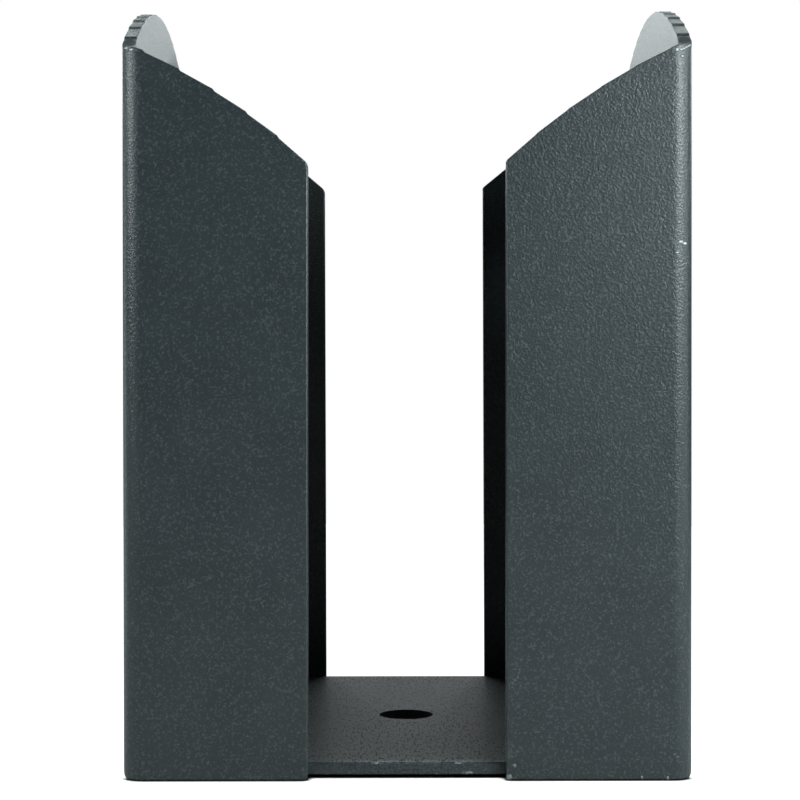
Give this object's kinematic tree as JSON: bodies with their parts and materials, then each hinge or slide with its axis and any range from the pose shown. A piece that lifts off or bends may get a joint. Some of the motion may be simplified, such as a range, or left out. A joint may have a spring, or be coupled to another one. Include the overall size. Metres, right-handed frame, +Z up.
{
  "type": "bolt-down post anchor",
  "caption": "Folded sheet-steel pocket that bolts down through its base and holds the foot of a square timber post, with an arched top edge.",
  "frame": {"origin": "under the middle of the anchor, on the surface that it is bolted down to", "axes": "+Z up, towards the open end; X across from one side wall to the other; the front and back flanges and their gaps face -Y and +Y"},
  "size_m": [0.106, 0.106, 0.148],
  "materials": {
    "powder_coat": "fine-textured anthracite powder coat, low sheen"
  },
  "bodies": {
    "root": {"post_anchor": "powder_coat"}
  },
  "joints": []
}
